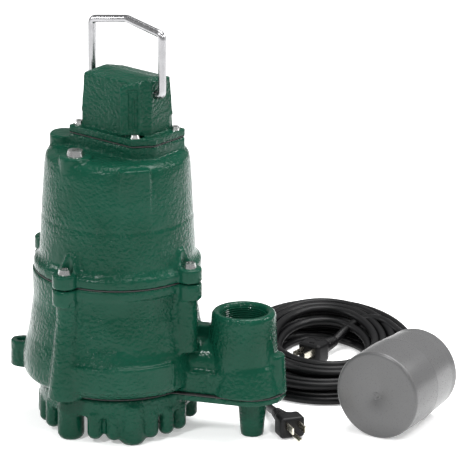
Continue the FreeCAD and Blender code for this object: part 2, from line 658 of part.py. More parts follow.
def cord_gland():
    """Threaded gland body with its hexagon and the rubber grommet that grips the cord."""
    stem = rod("gland_stem", 6.9, 14, GLAND_SEAT - GLAND_WAY * 10, GLAND_WAY)
    nut = DOC.addObject("Part::Prism", "gland_nut_blank")
    nut.Polygon = 6
    bind(nut, "Circumradius", 11.5)
    bind(nut, "Height", 10)
    nut.Placement = Placement(GLAND_SEAT, Rotation(UP, GLAND_WAY))
    trimmed("cord_gland", fused("gland_whole", [stem, nut]),
            [rod("gland_bore", 5.5, 60, GLAND_SEAT - GLAND_WAY * 30, GLAND_WAY)])
    sleeve = rod("grommet_sleeve", 5.5, 20, GLAND_SEAT - GLAND_WAY * 10, GLAND_WAY)
    nose = taper("grommet_nose", 7, 5.2, 10, GLAND_SEAT + GLAND_WAY * 10, GLAND_WAY)
    fused("cord_grommet", [sleeve, nose])


FLOAT_TURN = Rotation(UP, Vector(math.cos(math.radians(value("float_angle"))),
                                 math.sin(math.radians(value("float_angle"))), 0))
FLOAT_AT = Placement(Vector(value("float_x"), value("float_y"), value("float_radius")), FLOAT_TURN)


def float_switch():
    """Two welded float shells holding a sealed ball switch and a counterweight."""
    skin = "float_radius - float_wall"
    half = "float_length - 45"
    lathe("float_shell_front", [
        (0, 0), ("float_radius - 5", 0), ("float_radius - 1.5", 1.5), ("float_radius", 5),
        ("float_radius", half), (skin, half), (skin, "float_wall"), (0, "float_wall")], FLOAT_AT)
    lathe("float_shell_rear", [
        (6, "float_length"), ("float_radius - 5", "float_length"),
        ("float_radius - 1.5", "float_length - 1.5"), ("float_radius", "float_length - 5"),
        ("float_radius", half), (skin, half), (skin, "float_length - float_wall"),
        (6, "float_length - float_wall")], FLOAT_AT)
    lathe("float_weight", [(18, 76), (34, 76), (34, 86), (18, 86)], FLOAT_AT)
    lathe("switch_capsule", [
        (0, 14), (13, 14), (13, 74), (11, 74), (11, 16), (0, 16)], FLOAT_AT)
    ball = DOC.addObject("Part::Sphere", "switch_ball")
    bind(ball, "Radius", 8)
    ball.Placement = FLOAT_AT.multiply(Placement(Vector(0, 0, 25), Rotation()))
    leaf = block("lever_leaf", 14, 4, 1.2, (0, 0, 0))
    leaf.Placement = FLOAT_AT.multiply(Placement(Vector(-5, -2, 62), Rotation()))
    pivot = rod("lever_pivot", 1.2, 4, (0, 0, 0), (0, 1, 0))
    pivot.Placement = FLOAT_AT.multiply(
        Placement(Vector(9, -2, 62.6), Rotation(UP, Vector(0, 1, 0))))
    fused("switch_lever", [leaf, pivot])
    neck = "float_length + boot_length - boot_tip"
    sleeve = lathe("boot_sleeve", [
        (0, 77), (5.9, 77), (5.9, "float_length"), (9, "float_length"),
        (9, "float_length + 4"), ("boot_tip", neck), (0, neck)], FLOAT_AT)
    tip = DOC.addObject("Part::Sphere", "boot_ball")
    bind(tip, "Radius", "boot_tip")
    tip.Placement = FLOAT_AT.multiply(Placement(Vector(0, 0, value(neck)), Rotation()))
    fused("float_boot", [sleeve, tip])


FLOAT_EXIT = FLOAT_AT.multVec(Vector(0, 0, value("float_length + boot_length + boot_gap")))


def coil(name, low):
    """Outer form of one coiled cord lying on the floor: an oval ring."""
    solids = []
    for part, long_half, short_half in (("rim", "coil_outer_long", "coil_outer_short"),
                                        ("hole", "coil_inner_long", "coil_inner_short")):
        oval = DOC.addObject("Part::Ellipse", "%s_%s_oval" % (name, part))
        bind(oval, "MajorRadius", long_half)
        bind(oval, "MinorRadius", short_half)
        oval.Placement = Placement(Vector(value("coil_x"), value("coil_y"), low),
                                   Rotation(UP, value("coil_angle")))
        solid = DOC.addObject("Part::Extrusion", "%s_%s" % (name, part))
        solid.Base = oval
        solid.Solid = True
        solid.DirMode = "Custom"
        solid.Dir = UP
        bind(solid, "LengthFwd", "coil_half")
        solids.append(solid)
    return trimmed(name, solids[0], solids[1:])


PLUG_LEVEL = 11.5
PLUG_AT = Placement(Vector(150, 34, PLUG_LEVEL), Rotation(UP, -53))
PIGGYBACK_AT = Placement(Vector(145.3, 249.6, PLUG_LEVEL), Rotation(UP, 253))


def plug(name, place, piggyback):
    """Moulded grounded plug pointing along its own +X, with its strain relief behind it."""
    relief = taper("%s_relief" % name, 5.2, 8, 22, (0, 0, 0), (1, 0, 0))
    neck = taper("%s_neck" % name, 8, 10.5, 6, (22, 0, 0), (1, 0, 0))
    head = block(name + "_head", 20, 25, 21, (37, 0, -10.5))
    edged = DOC.addObject("Part::Fillet", name + "_rounded")
    edged.Base = head
    DOC.recompute()
    edged.Edges = [(number + 1, 3.5, 3.5) for number in range(12)]
    parts = [relief, neck, edged]
    moulding = fused(name + "_moulding", parts)
    cuts = [rod("%s_groove_%d" % (name, i), 12, 1.2, (4 + 4 * i, 0, 0), (1, 0, 0)) for i in range(4)]
    cores = [rod("%s_core_%d" % (name, i), 4.6 + 0.4 * i, 1.2, (4 + 4 * i, 0, 0), (1, 0, 0))
             for i in range(4)]
    ribbed = fused(name + "_ribbed", [trimmed(name + "_slotted", moulding, cuts)] + cores)
    sockets = [block("%s_seat_%d" % (name, side), 10, 1.6, 6.4, (44, side * 6.35, 0))
               for side in (1, -1)]
    sockets.append(rod(name + "_pin_seat", 2.4, 12, (39, 0, -5.6), (1, 0, 0)))
    if piggyback:
        sockets += [block("%s_slot_%d" % (name, side), 2, 7, 3, (36 + side * 5, 0, 8))
                    for side in (1, -1)]
    body = trimmed(name, ribbed, sockets)
    blades = fused(name + "_blades", [
        block("%s_blade_%d" % (name, side), 25, 1.5, 6.3, (51.5, side * 6.35, 0.05))
        for side in (1, -1)])
    pin = rod(name + "_ground_pin", 2.35, 31, (39.2, 0, -5.6), (1, 0, 0))
    for item in (body, blades, pin):
        item.Placement = place.multiply(item.Placement)


POWER_LEAD = [Vector(*spot) for spot in (
    (-19, 68, 322), (-31, 86, 312), (-40, 99, 288), (-43, 103, 255), (-42, 106, 210),
    (-45, 105, 162), (-43, 108, 117), (-46, 107, 76), (-45, 110, 42), (-43, 122, 20),
    (-36, 140, 6), (-23, 158, 4.2), (-4, 172, 4.2), (18, 179, 4.2), (40, 176, 4.2),
    (59, 165, 4.4))]
POWER_TAIL = [Vector(*spot) for spot in (
    (115, 104, 7), (122, 87, 4.8), (129, 70, 4.6), (139, 52, 7.5))]
FLOAT_LEAD = [Vector(*spot) for spot in (
    (278, 150, 41), (280, 170, 31), (275, 190, 20), (263, 208, 15), (248, 224, 16))]
FLOAT_TAIL = [Vector(*spot) for spot in (
    (150, 264, 17), (161, 273, 27), (176, 276, 31.5), (192, 271, 31.5), (204, 260, 29))]


def cords():
    """The cord stretches that aren't coiled, the coils and the two plugs."""
    coil("power_cord_coil", 0)
    coil("float_cord_coil", value("coil_half"))
    plug("power_plug", PLUG_AT, False)
    plug("piggyback_plug", PIGGYBACK_AT, True)
    routes = {
        "power_cord_lead": [GLAND_EXIT] + POWER_LEAD + [Vector(78, 150, 5)],
        "power_cord_tail": [Vector(108, 120, 9)] + POWER_TAIL + [PLUG_AT.Base],
        "float_cord_lead": [FLOAT_EXIT] + FLOAT_LEAD + [Vector(229, 241, 18)],
        "float_cord_tail": [PIGGYBACK_AT.Base] + FLOAT_TAIL + [Vector(211, 246, 23)],
    }
    radius = value("cord_radius")
    for name, points in routes.items():
        solid, radii, length = swept(points, radius)
        made(name, solid)
        share = solid.Volume / (math.pi * radius ** 2 * length)
        print(name, "length %.0f" % length, "volume share %.4f" % share,
              "radii", ["%.0f" % bend for bend in radii])


NODES = (
    "base_cover", "base_gasket", "base_screws", "pump_housing", "impeller", "impeller_washer",
    "impeller_nut", "seal_seat", "seal_ring", "seal_spring", "seal_collar", "shaft",
    "bearing_bracket", "lower_bearing_outer_race", "lower_bearing_inner_race",
    "lower_bearing_balls", "joint_gasket", "motor_housing", "housing_screws", "stator_core",
    "lower_winding", "upper_winding", "rotor_core", "rotor_end_rings",
    "upper_bearing_outer_race", "upper_bearing_inner_race", "upper_bearing_balls", "wave_spring",
    "oil_plug", "cap_gasket", "switch_cap", "cap_screws", "lifting_handle", "capacitor",
    "capacitor_clip", "overload_protector", "terminal_block", "cord_gland", "cord_grommet",
    "float_shell_front", "float_shell_rear", "float_weight", "switch_capsule", "switch_ball",
    "switch_lever", "float_boot", "power_cord_lead", "power_cord_coil", "power_cord_tail",
    "power_plug", "power_plug_blades", "power_plug_ground_pin", "float_cord_lead",
    "float_cord_coil", "float_cord_tail", "piggyback_plug", "piggyback_plug_blades",
    "piggyback_plug_ground_pin")


def build():
    """Makes every piece."""
    base_cover()
    base_gasket()
    machine_screws("base_screws", BASE_SCREWS, 5.6, 4, 2.95, 22, way=1)
    pump_housing()
    impeller()
    drive_line_fasteners()
    shaft_seal()
    shaft()
    bearing_bracket()
    bearing("lower_bearing", "low_race", "low_race_bore", "low_race_level", "low_race_width", 1.95)
    bearing("upper_bearing", "high_race", "high_race_bore", "high_race_level",
            "high_race_width", 1.7)
    tube("wave_spring", 12, 17, 273.1, "seat_top")
    joint_gasket()
    motor_housing()
    machine_screws("housing_screws", HOUSING_SCREWS, 6.6, 4.6, 2.95, 34)
    motor_core()
    oil_plug()
    cap_gasket()
    switch_cap()
    machine_screws("cap_screws", CAP_SCREWS, 4.6, 3.4, 1.95, 16)
    lifting_handle()
    cap_contents()
    cord_gland()
    float_switch()
    cords()


def failures():
    """Every object that didn't build, and every piece that isn't a valid shape."""
    bad = [item.Name for item in DOC.Objects if {"Invalid", "Error"} & set(item.State)]
    for name in NODES:
        shape = DOC.getObjectsByLabel(name)[0].Shape
        if shape.isNull() or not shape.isValid() or shape.Volume <= 0 or not shape.Solids:
            bad.append(name)
    return bad


build()
DOC.recompute()
wrong = failures()
if wrong:
    raise SystemExit("these didn't build: %s" % wrong)
os.makedirs("parts", exist_ok=True)
for node in NODES:
    DOC.getObjectsByLabel(node)[0].Shape.exportStep("parts/%s.step" % node)
print("wrote", len(NODES), "pieces")
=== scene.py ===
"""Looks of the submersible sump pump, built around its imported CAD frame. Metres, +Z up."""
import json
import math

import bmesh
import bpy
from mathutils import Matrix, Vector, noise


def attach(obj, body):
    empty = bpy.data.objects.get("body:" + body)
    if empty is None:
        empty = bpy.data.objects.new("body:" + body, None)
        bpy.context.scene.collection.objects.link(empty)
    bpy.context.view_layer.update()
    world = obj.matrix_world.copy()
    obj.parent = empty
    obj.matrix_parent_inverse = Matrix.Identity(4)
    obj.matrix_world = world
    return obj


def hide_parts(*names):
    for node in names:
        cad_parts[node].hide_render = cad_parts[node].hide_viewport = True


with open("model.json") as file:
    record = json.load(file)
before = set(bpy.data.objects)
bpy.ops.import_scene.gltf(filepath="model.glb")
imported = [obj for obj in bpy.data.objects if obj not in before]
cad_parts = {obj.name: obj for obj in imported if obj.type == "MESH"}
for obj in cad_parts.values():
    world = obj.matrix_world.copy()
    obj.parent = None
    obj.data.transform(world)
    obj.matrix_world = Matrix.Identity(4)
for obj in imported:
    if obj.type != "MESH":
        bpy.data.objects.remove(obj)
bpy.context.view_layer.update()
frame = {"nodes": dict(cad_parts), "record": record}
NODES = frame["nodes"]
# One millimetre. Routes, outlines and places below are in millimetres unless they say otherwise.
MM = 0.001

# ---------------------------------------------------------------- camera

CAMERA_TARGET = Vector((0.1189, 0.0, 0.1989))
CAMERA_AZIMUTH, CAMERA_ELEVATION, CAMERA_ROLL = 17.12, 18.40, 0.25
CAMERA_DISTANCE = 5.392
CAMERA_LENS = 431.4


def add_camera():
    """The camera at the view that shows the pump's front, its discharge and the float."""
    turn, rise = math.radians(CAMERA_AZIMUTH), math.radians(CAMERA_ELEVATION)
    back = Vector((math.sin(turn) * math.cos(rise), -math.cos(turn) * math.cos(rise),
                   math.sin(rise)))
    right = Vector((math.cos(turn), math.sin(turn), 0))
    up = back.cross(right)
    axes = Matrix((right, up, back)).transposed() @ Matrix.Rotation(
        math.radians(CAMERA_ROLL), 3, "Z")
    data = bpy.data.cameras.new("camera")
    data.lens = CAMERA_LENS
    data.sensor_width = 36
    data.clip_end = 50
    camera = bpy.data.objects.new("camera", data)
    camera.matrix_world = Matrix.LocRotScale(CAMERA_TARGET + back * CAMERA_DISTANCE,
                                             axes.to_quaternion(), None)
    bpy.context.collection.objects.link(camera)
    bpy.context.scene.camera = camera


# ---------------------------------------------------------------- materials

def new_material(name):
    """A node material and its main shader."""
    material = bpy.data.materials.new(name)
    material.use_nodes = True
    return material, material.node_tree, material.node_tree.nodes["Principled BSDF"]


def add_node(tree, kind, inputs=None, **settings):
    """A node with its settings and plain input values."""
    node = tree.nodes.new(kind)
    for key, setting in settings.items():
        setattr(node, key, setting)
    for key, setting in (inputs or {}).items():
        node.inputs[key].default_value = setting
    return node


def noise_of(tree, scale, detail=3.0, rough=0.55, stretch=(1, 1, 1)):
    """Noise over the object's own coordinates, in features per metre."""
    place = add_node(tree, "ShaderNodeTexCoord")
    mapping = add_node(tree, "ShaderNodeMapping", {"Scale": stretch})
    texture = add_node(tree, "ShaderNodeTexNoise",
                       {"Scale": scale, "Detail": detail, "Roughness": rough})
    tree.links.new(place.outputs["Object"], mapping.inputs["Vector"])
    tree.links.new(mapping.outputs["Vector"], texture.inputs["Vector"])
    return texture.outputs["Fac"]


def ramp_of(tree, source, stops):
    """A colour ramp from a value."""
    ramp = add_node(tree, "ShaderNodeValToRGB")
    elements = ramp.color_ramp.elements
    while len(elements) < len(stops):
        elements.new(0.5)
    for element, (place, colour) in zip(elements, stops):
        element.position = place
        element.color = (*colour, 1)
    tree.links.new(source, ramp.inputs["Fac"])
    return ramp.outputs["Color"]


def range_of(tree, source, low, high, start=0.0, finish=1.0):
    """A value moved from one range to another."""
    node = add_node(tree, "ShaderNodeMapRange", {
        "From Min": low, "From Max": high, "To Min": start, "To Max": finish})
    tree.links.new(source, node.inputs["Value"])
    return node.outputs["Result"]


def bump_of(tree, layers):
    """A chain of bumps from (height, strength, distance)."""
    normal = None
    for source, strength, distance in layers:
        node = add_node(tree, "ShaderNodeBump", {"Strength": strength, "Distance": distance})
        tree.links.new(source, node.inputs["Height"])
        if normal:
            tree.links.new(normal, node.inputs["Normal"])
        normal = node.outputs["Normal"]
    return normal


def cast_paint():
    """Glossy green enamel over rough sand-cast iron, smoother in some patches than in others."""
    material, tree, shader = new_material("cast_paint")
    broad = noise_of(tree, 14, 2)
    grains = noise_of(tree, 300, 2, 0.5)
    dark, light = (0.0026, 0.037, 0.0205), (0.0056, 0.053, 0.032)
    tree.links.new(ramp_of(tree, broad, ((0.3, dark), (0.7, light))), shader.inputs["Base Color"])
    patches = range_of(tree, noise_of(tree, 17, 2), 0.40, 0.60, 0.25, 1.0)
    pits = noise_of(tree, 120, 2)
    rough = add_node(tree, "ShaderNodeMath", operation="MULTIPLY")
    tree.links.new(patches, rough.inputs[0])
    tree.links.new(grains, rough.inputs[1])
    normal = bump_of(tree, ((pits, 0.35, 0.0010), (rough.outputs[0], 1.0, 0.0019)))
    tree.links.new(normal, shader.inputs["Normal"])
    tree.links.new(range_of(tree, grains, 0.3, 0.7, 0.08, 0.17), shader.inputs["Roughness"])
    shader.inputs["Specular IOR Level"].default_value = 0.14
    return material


def metal(name, colour, rough, grain=900, stretch=(1, 1, 1), depth=0.0001, spread=0.12):
    """A bare metal with fine grain; stretch draws the grain out along an axis."""
    material, tree, shader = new_material(name)
    fine = noise_of(tree, grain, 3, 0.6, stretch)
    broad = noise_of(tree, 60, 2)
    dark = tuple(part * 0.82 for part in colour)
    tree.links.new(ramp_of(tree, broad, ((0.3, dark), (0.7, colour))), shader.inputs["Base Color"])
    tree.links.new(range_of(tree, fine, 0.3, 0.7, rough, rough + spread),
                   shader.inputs["Roughness"])
    tree.links.new(bump_of(tree, ((fine, 0.25, depth),)), shader.inputs["Normal"])
    shader.inputs["Metallic"].default_value = 1.0
    return material


def plain(name, colour, rough, grain=700, depth=0.0002, spread=0.15, tint=0.85, shine=0.5):
    """Rubber, plastic or ceramic with a fine moulded grain.

    tint darkens the colour in broad patches, and shine is the specular level.
    """
    material, tree, shader = new_material(name)
    fine = noise_of(tree, grain, 2)
    broad = noise_of(tree, 35, 2)
    dark = tuple(part * tint for part in colour)
    tree.links.new(ramp_of(tree, broad, ((0.3, dark), (0.7, colour))), shader.inputs["Base Color"])
    tree.links.new(range_of(tree, fine, 0.3, 0.7, rough, rough + spread),
                   shader.inputs["Roughness"])
    tree.links.new(bump_of(tree, ((fine, 0.2, depth),)), shader.inputs["Normal"])
    shader.inputs["Specular IOR Level"].default_value = shine
    return material


def lamination():
    """Stacked steel sheets, with lines around the core."""
    material, tree, shader = new_material("lamination")
    place = add_node(tree, "ShaderNodeTexCoord")
    sheets = add_node(tree, "ShaderNodeTexWave", {"Scale": 320.0, "Distortion": 0.2},
                      bands_direction="Z")
    tree.links.new(place.outputs["Object"], sheets.inputs["Vector"])
    tree.links.new(ramp_of(tree, sheets.outputs["Fac"], (
        (0.0, (0.10, 0.10, 0.11)), (0.4, (0.34, 0.34, 0.36)))), shader.inputs["Base Color"])
    tree.links.new(bump_of(tree, ((sheets.outputs["Fac"], 0.5, 0.0003),)),
                   shader.inputs["Normal"])
    shader.inputs["Metallic"].default_value = 1.0
    shader.inputs["Roughness"].default_value = 0.45
    return material


def winding():
    """Varnished copper wire, wound round the core's ends."""
    material, tree, shader = new_material("winding")
    wires = noise_of(tree, 260, 2, 0.5, (1, 1, 5))
    tree.links.new(ramp_of(tree, wires, ((0.35, (0.16, 0.05, 0.02)), (0.6, (0.62, 0.24, 0.09)))),
                   shader.inputs["Base Color"])
    tree.links.new(bump_of(tree, ((wires, 0.8, 0.0008),)), shader.inputs["Normal"])
    shader.inputs["Metallic"].default_value = 0.8
    shader.inputs["Roughness"].default_value = 0.32
    return material


SLOT_MATERIALS = {
    "cast_paint": cast_paint(),
    "gasket_rubber": plain("gasket_rubber", (0.02, 0.02, 0.02), 0.6),
    "plated_steel": metal("plated_steel", (0.74, 0.75, 0.74), 0.14),
    "handle_steel": metal("handle_steel", (0.40, 0.40, 0.41), 0.20, 500, (1, 1, 0.15)),
    "machined_iron": metal("machined_iron", (0.30, 0.30, 0.31), 0.42, 400, (1, 1, 1), 0.0003),
    "ground_steel": metal("ground_steel", (0.62, 0.62, 0.64), 0.18),
    "seal_ceramic": plain("seal_ceramic", (0.80, 0.77, 0.70), 0.2, 300, 0.00005),
    "seal_carbon": plain("seal_carbon", (0.03, 0.03, 0.03), 0.35),
    "lamination": lamination(),
    "rotor_aluminium": metal("rotor_aluminium", (0.75, 0.76, 0.77), 0.34, 300, (1, 1, 1), 0.0003),
    "winding": winding(),
    "phenolic": plain("phenolic", (0.035, 0.028, 0.024), 0.38),
    "gland_brass": metal("gland_brass", (0.72, 0.55, 0.25), 0.22),
    "float_plastic": plain("float_plastic", (0.085, 0.085, 0.086), 0.26, 900, 0.00008, 0.1, 0.93),
    "cord_rubber": plain("cord_rubber", (0.0035, 0.0035, 0.004), 0.36, 1400, 0.0001,
                         shine=0.22),
    "blade_brass": metal("blade_brass", (0.78, 0.74, 0.62), 0.2),
}


def dress(piece, slot):
    """Gives a piece the one material of the named slot."""
    piece.data.materials.clear()
    piece.data.materials.append(SLOT_MATERIALS[slot])


def dress_frame():
    """Gives every CAD node its slot's material."""
    for entry in frame["record"]["subparts"]:
        for slot in NODES[entry["node"]].material_slots:
            slot.link = "OBJECT"
            slot.material = SLOT_MATERIALS[entry["material_slot"]]


# ---------------------------------------------------------------- cords

CORD_LENGTH = 4.572
CORD_DIAMETER = 0.008
GLAND_EXIT = (-10.93, 49.45, 322)
POWER_LEAD = (
    (-19, 68, 322), (-31, 86, 312), (-40, 99, 288), (-43, 103, 255), (-42, 106, 210),
    (-45, 105, 162), (-43, 108, 117), (-46, 107, 76), (-45, 110, 42), (-43, 122, 20),
    (-36, 140, 6), (-23, 158, 4.2), (-4, 172, 4.2), (18, 179, 4.2), (40, 176, 4.2),
    (59, 165, 4.4))
POWER_TAIL = ((115, 104, 7), (122, 87, 4.8), (129, 70, 4.6), (139, 52, 7.5))
POWER_PLUG = (150, 34, 11.5)
FLOAT_EXIT = (275.19, 130.21, 43.5)
FLOAT_LEAD = ((278, 150, 41), (280, 170, 31), (275, 190, 20), (263, 208, 15), (248, 224, 16))
FLOAT_TAIL = ((204, 260, 29), (192, 271, 31.5), (176, 276, 31.5), (161, 273, 27), (150, 264, 17))
PIGGYBACK_PLUG = (145.3, 249.6, 11.5)

COIL_CENTRE = Vector((146, 212, 0))
COIL_FAR = Vector((math.cos(math.radians(108)), math.sin(math.radians(108)), 0))
COIL_RIGHT = Vector((COIL_FAR.y, -COIL_FAR.x, 0))
COIL_OUTER = (88, 118)
COIL_INNER = (37, 54)
LEVELS = (4.3, 11.1, 17.9, 24.7)
TRACKS = 6
POINTS_A_TURN = 18
# The upper turns rise and widen on the coil's far side, and every turn wanders a little.
ARCH_OUT, ARCH_UP = 5, 8
WANDER, LIFT = 2.4, 0.7
# The share of a turn that is laid down before the cord moves to its next track.
STEADY_SHARE = 0.55


def coil_points(layers, start, finish, spread, seed):
    """Turns of one cord as an oval spiral.

    layers is a list of (track, level) for each turn, counted from the outside; start and
    finish are angles from the coil's right side, and spread moves all turns outwards.
    """
    turns = len(layers) - 1 + (finish - start) / 360
    count = int(turns * POINTS_A_TURN)
    points = []
    for index in range(count + 1):
        gone = turns * index / count
        whole = min(int(gone), len(layers) - 1)
        after = min(whole + 1, len(layers) - 1)
        blend = min(1.0, max(0.0, (gone - whole - STEADY_SHARE) / (1 - STEADY_SHARE)))
        blend = blend * blend * (3 - 2 * blend)
        track = layers[whole][0] * (1 - blend) + layers[after][0] * blend
        level = layers[whole][1] * (1 - blend) + layers[after][1] * blend
        angle = math.radians(start + 360 * gone)
        halves = []
        for outer, inner in zip(COIL_OUTER, COIL_INNER):
            step = (outer - inner - CORD_DIAMETER / MM) / (TRACKS - 1)
            halves.append(outer - CORD_DIAMETER / MM / 2 - step * track + spread)
        arch = max(0.0, math.sin(angle)) * (level - LEVELS[0]) / (LEVELS[-1] - LEVELS[0])
        wander = WANDER * noise.noise(Vector((seed + gone * 1.7, seed * 2.3, 0)))
        lift = LIFT * noise.noise(Vector((seed * 1.9, gone * 2.3, 4)))
        points.append(COIL_CENTRE + COIL_RIGHT * (halves[0] + wander) * math.cos(angle)
                      + COIL_FAR * (halves[1] + ARCH_OUT * arch + wander) * math.sin(angle)
                      + Vector((0, 0, level + ARCH_UP * arch + lift)))
    return points


def cord_curve(name, points):
    """One smooth open spline with the cord's round section, from points in millimetres."""
    data = bpy.data.curves.new(name, "CURVE")
    data.dimensions = "3D"
    spline = data.splines.new("NURBS")
    spline.points.add(len(points) - 1)
    for point, place in zip(spline.points, points):
        point.co = (*(Vector(place) * MM), 1)
    spline.order_u = 3
    spline.use_endpoint_u = True
    spline.resolution_u = 6
    data.bevel_depth = CORD_DIAMETER / 2
    data.bevel_resolution = 5
    data.use_fill_caps = True
    piece = bpy.data.objects.new(name, data)
    bpy.context.collection.objects.link(piece)
    data.materials.append(SLOT_MATERIALS["cord_rubber"])
    return piece


def remove_curve(piece):
    """Deletes a curve object and its data."""
    data = piece.data
    bpy.data.objects.remove(piece)
    bpy.data.curves.remove(data)


def curve_length(piece):
    """Length of a curve's centre line."""
    bare = piece.copy()
    bare.data = piece.data.copy()
    bare.data.bevel_depth = 0
    mesh = bpy.data.meshes.new_from_object(bare)
    spots = [vertex.co.copy() for vertex in mesh.vertices]
    bpy.data.meshes.remove(mesh)
    remove_curve(bare)
    return sum((after - before).length for before, after in zip(spots, spots[1:]))


def coiled_cord(name, head, layers, start, finish, tail, seed):
    """A cord whose coil is opened a little, so that the whole cord has its length."""
    def laid(spread):
        return cord_curve(name, [*head, *coil_points(layers, start, finish, spread, seed), *tail])

    sizes, trial_spread = [], 3.0
    for spread in (0.0, trial_spread):
        trial = laid(spread)
        sizes.append(curve_length(trial))
        remove_curve(trial)
    return laid(trial_spread * (CORD_LENGTH - sizes[0]) / (sizes[1] - sizes[0]))


def add_cord(name, head, coil, tail, cad_nodes):
    """One coiled cord from its exit to its plug, in place of its CAD cord nodes.

    coil is the layers, start angle, finish angle and seed of its turns.
    """
    layers, start, finish, seed = coil
    cord = coiled_cord(name, head, layers, start, finish, tail, seed)
    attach(cord, "root")
    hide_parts(*cad_nodes)


def add_cords():
    """The power cord and the float's cord, one coil lying on the other."""
    low, second, third, top = LEVELS
    power_layers = ([(track, low) for track in range(TRACKS)]
                    + [(track, second) for track in (3.4, 2.3, 1.2)])
    add_cord("power_cord", [GLAND_EXIT, *POWER_LEAD], (power_layers, 205, 212, 3.7),
             [*POWER_TAIL, POWER_PLUG],
             ("power_cord_lead", "power_cord_coil", "power_cord_tail"))
    float_layers = ([(track, third) for track in range(TRACKS)]
                    + [(track, top) for track in (4.4, 3.3, 2.2, 1.2)])
    add_cord("float_cord", [FLOAT_EXIT, *FLOAT_LEAD], (float_layers, 12, 8, 8.1),
             [*FLOAT_TAIL, PIGGYBACK_PLUG],
             ("float_cord_lead", "float_cord_coil", "float_cord_tail"))


# ---------------------------------------------------------------- castings and mouldings

def copy_of(node, name):
    """A new piece with a CAD node's mesh, free to be reshaped."""
    source = NODES[node]
    mesh = bpy.data.meshes.new_from_object(
        source.evaluated_get(bpy.context.evaluated_depsgraph_get()))
    mesh.transform(source.matrix_world)
    mesh.name = name
    piece = bpy.data.objects.new(name, mesh)
    bpy.context.collection.objects.link(piece)
    return piece


def apply_modifiers(piece):
    """Bakes a piece's modifiers into its mesh."""
    graph = bpy.context.evaluated_depsgraph_get()
    graph.update()
    mesh = bpy.data.meshes.new_from_object(piece.evaluated_get(graph))
    old = piece.data
    piece.modifiers.clear()
    piece.data = mesh
    bpy.data.meshes.remove(old)


def soften(piece, voxel, rounds):
    """Remeshes a piece evenly and rounds its edges and inner corners."""
    remesh = piece.modifiers.new("remesh", "REMESH")
    remesh.mode = "VOXEL"
    remesh.voxel_size = voxel
    smooth = piece.modifiers.new("smooth", "SMOOTH")
    smooth.factor = 0.5
    smooth.iterations = rounds
    apply_modifiers(piece)
    for face in piece.data.polygons:
        face.use_smooth = True


def sand_cast(piece, height, seed):
    """Moves the skin in and out a little, as a sand mould leaves it."""
    mesh = piece.data
    shift = Vector((seed, seed * 1.3, -seed))
    spots = [vertex.co.copy() for vertex in mesh.vertices]
    ways = [vertex.normal.copy() for vertex in mesh.vertices]
    moved = []
    for place, way in zip(spots, ways):
        broad = noise.noise(place * 45 + shift)
        rough = noise.noise(place * 310 + shift) + 0.6 * noise.noise(place * 620 - shift)
        patch = max(0.0, noise.noise(place * 24 - shift) + 0.25)
        moved.extend(place + way * height * (0.8 * broad + rough * (0.25 + patch)))
    mesh.vertices.foreach_set("co", moved)
    mesh.update()


def join_hoops(mesh, hoops):
    """Adds a closed skin to a mesh through matching hoops of points in millimetres."""
    shape = bmesh.new()
    shape.from_mesh(mesh)
    rings = [[shape.verts.new(Vector(spot) * MM) for spot in hoop] for hoop in hoops]
    for before, after in zip(rings, rings[1:]):
        for index in range(len(before)):
            beside = (index + 1) % len(before)
            shape.faces.new((before[index], after[index], after[beside], before[beside]))
    shape.faces.new(rings[0])
    shape.faces.new(rings[-1][::-1])
    shape.normal_update()
    shape.to_mesh(mesh)
    shape.free()


def around(centre, radius, level, angle):
    """A point at an angle in degrees round an upright axis."""
    turn = math.radians(angle)
    return Vector((centre[0] + radius * math.cos(turn), centre[1] + radius * math.sin(turn),
                   level))


# The raised pad at the foot of the volute: its axis, radii, levels and angles.
PAD_CENTRE = (-2.5, 0)
PAD_INNER, PAD_OUTER = 84, 91
PAD_LOW, PAD_HIGH = 57, 82
PAD_START, PAD_FINISH, PAD_STEPS = -103, -33, 24


def raised_pad(mesh):
    """Adds a curved pad to the front of the volute."""
    section = ((PAD_INNER, PAD_LOW), (PAD_OUTER, PAD_LOW), (PAD_OUTER, PAD_HIGH),
               (PAD_INNER, PAD_HIGH))
    join_hoops(mesh, [
        [around(PAD_CENTRE, radius, level,
                PAD_START + (PAD_FINISH - PAD_START) * step / PAD_STEPS)
         for radius, level in section]
        for step in range(PAD_STEPS + 1)])


def flared_foot(mesh):
    """Widens the left column of the housing towards its foot."""
    corners = 32
    join_hoops(mesh, [
        [around(centre, radius, level, 360 * step / corners) for step in range(corners)][::-1]
        for centre, radius, level in (((-27, -78), 17, 46.5), ((-25, -76), 10, 138))])


# The foot of the cap's truncated front corner, and which way the corner faces and leans.
CORNER_FOOT = Vector((9, 2.5, 297))
CORNER_REACH, CORNER_TURN, CORNER_LEAN = 34, -67, 4
RIB_DEPTH, RIB_PROUD = 3.4, 0.4
# Ribs of the corner's frame: place across, height of the middle, width, height.
CORNER_RIBS = ((-8.5, 25, 2.2, 46), (8.5, 25, 2.2, 46), (0, 3, 19, 2.2), (0, 47, 19, 2.2),
               (-2.5, 25, 1.4, 38), (3, 22, 1.4, 30))


def corner_frame(mesh):
    """Adds a raised frame to the cap's truncated front corner."""
    turn, lean = math.radians(CORNER_TURN), math.radians(CORNER_LEAN)
    out = Vector((math.cos(turn), math.sin(turn), 0))
    side = Vector((-math.sin(turn), math.cos(turn), 0))
    rise = Vector((0, 0, math.cos(lean))) - out * math.sin(lean)
    face = Vector((0, 0, math.sin(lean))) + out * math.cos(lean)
    middle = CORNER_FOOT + out * CORNER_REACH + face * RIB_PROUD
    shape = bmesh.new()
    shape.from_mesh(mesh)
    for across, level, wide, tall in CORNER_RIBS:
        rib = Matrix((face * RIB_DEPTH, side * wide, rise * tall)).transposed().to_4x4()
        rib.translation = middle + side * across + rise * level
        bmesh.ops.create_cube(shape, size=1, matrix=Matrix.Scale(MM, 4) @ rib)
    shape.to_mesh(mesh)
    shape.free()


